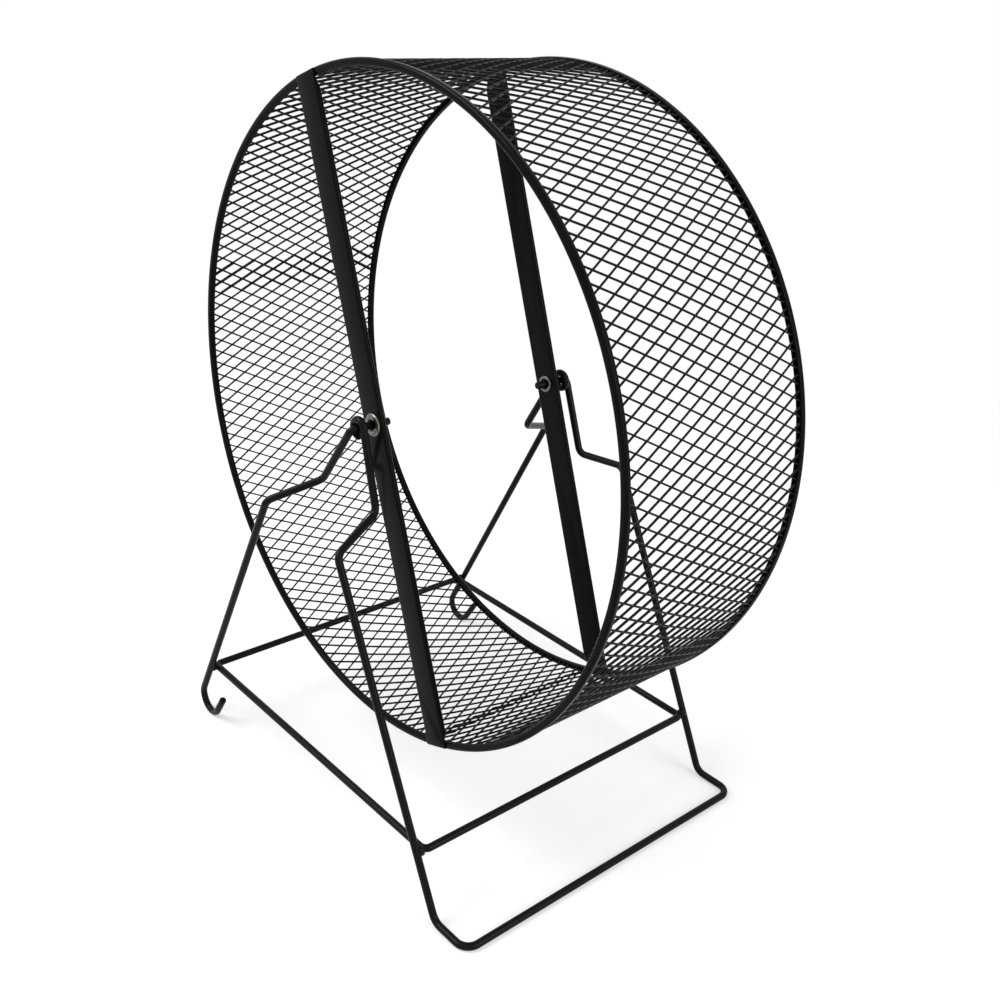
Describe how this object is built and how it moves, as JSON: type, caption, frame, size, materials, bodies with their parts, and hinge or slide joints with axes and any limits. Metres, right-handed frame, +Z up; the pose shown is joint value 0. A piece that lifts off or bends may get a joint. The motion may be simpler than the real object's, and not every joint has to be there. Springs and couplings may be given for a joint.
{
  "type": "rodent exercise wheel",
  "caption": "Rodent exercise wheel: an expanded-metal drum in folded rims turns on wire axle pins of a bent-wire stand with hooked legs and a base rectangle.",
  "frame": {"origin": "on the floor below the middle of the wheel", "axes": "+Z up; +Y along the axle, from the front of the wheel to the rear; +X toward the stand's ground bar"},
  "size_m": [0.28, 0.1648, 0.3195],
  "materials": {
    "black_powder_coated_steel": "semi-gloss black powder coat",
    "nickel_plated_steel": "bright nickel plate"
  },
  "bodies": {
    "stand": {"right_frame_wire": "black_powder_coated_steel", "left_front_leg": "black_powder_coated_steel", "left_rear_leg": "black_powder_coated_steel", "base_rectangle": "black_powder_coated_steel", "base_welds": "black_powder_coated_steel"},
    "wheel": {"front_rim": "black_powder_coated_steel", "rear_rim": "black_powder_coated_steel", "long_mesh_sheet": "black_powder_coated_steel", "short_mesh_sheet": "black_powder_coated_steel", "front_bar": "black_powder_coated_steel", "rear_bar": "black_powder_coated_steel", "front_eyelet": "nickel_plated_steel", "rear_eyelet": "nickel_plated_steel"}
  },
  "joints": [
    {"name": "wheel_spin", "type": "hinge", "parent": "stand", "child": "wheel", "pos_m": [0, 0, 0.1795], "axis": [0, 1, 0], "continuous": true}
  ]
}
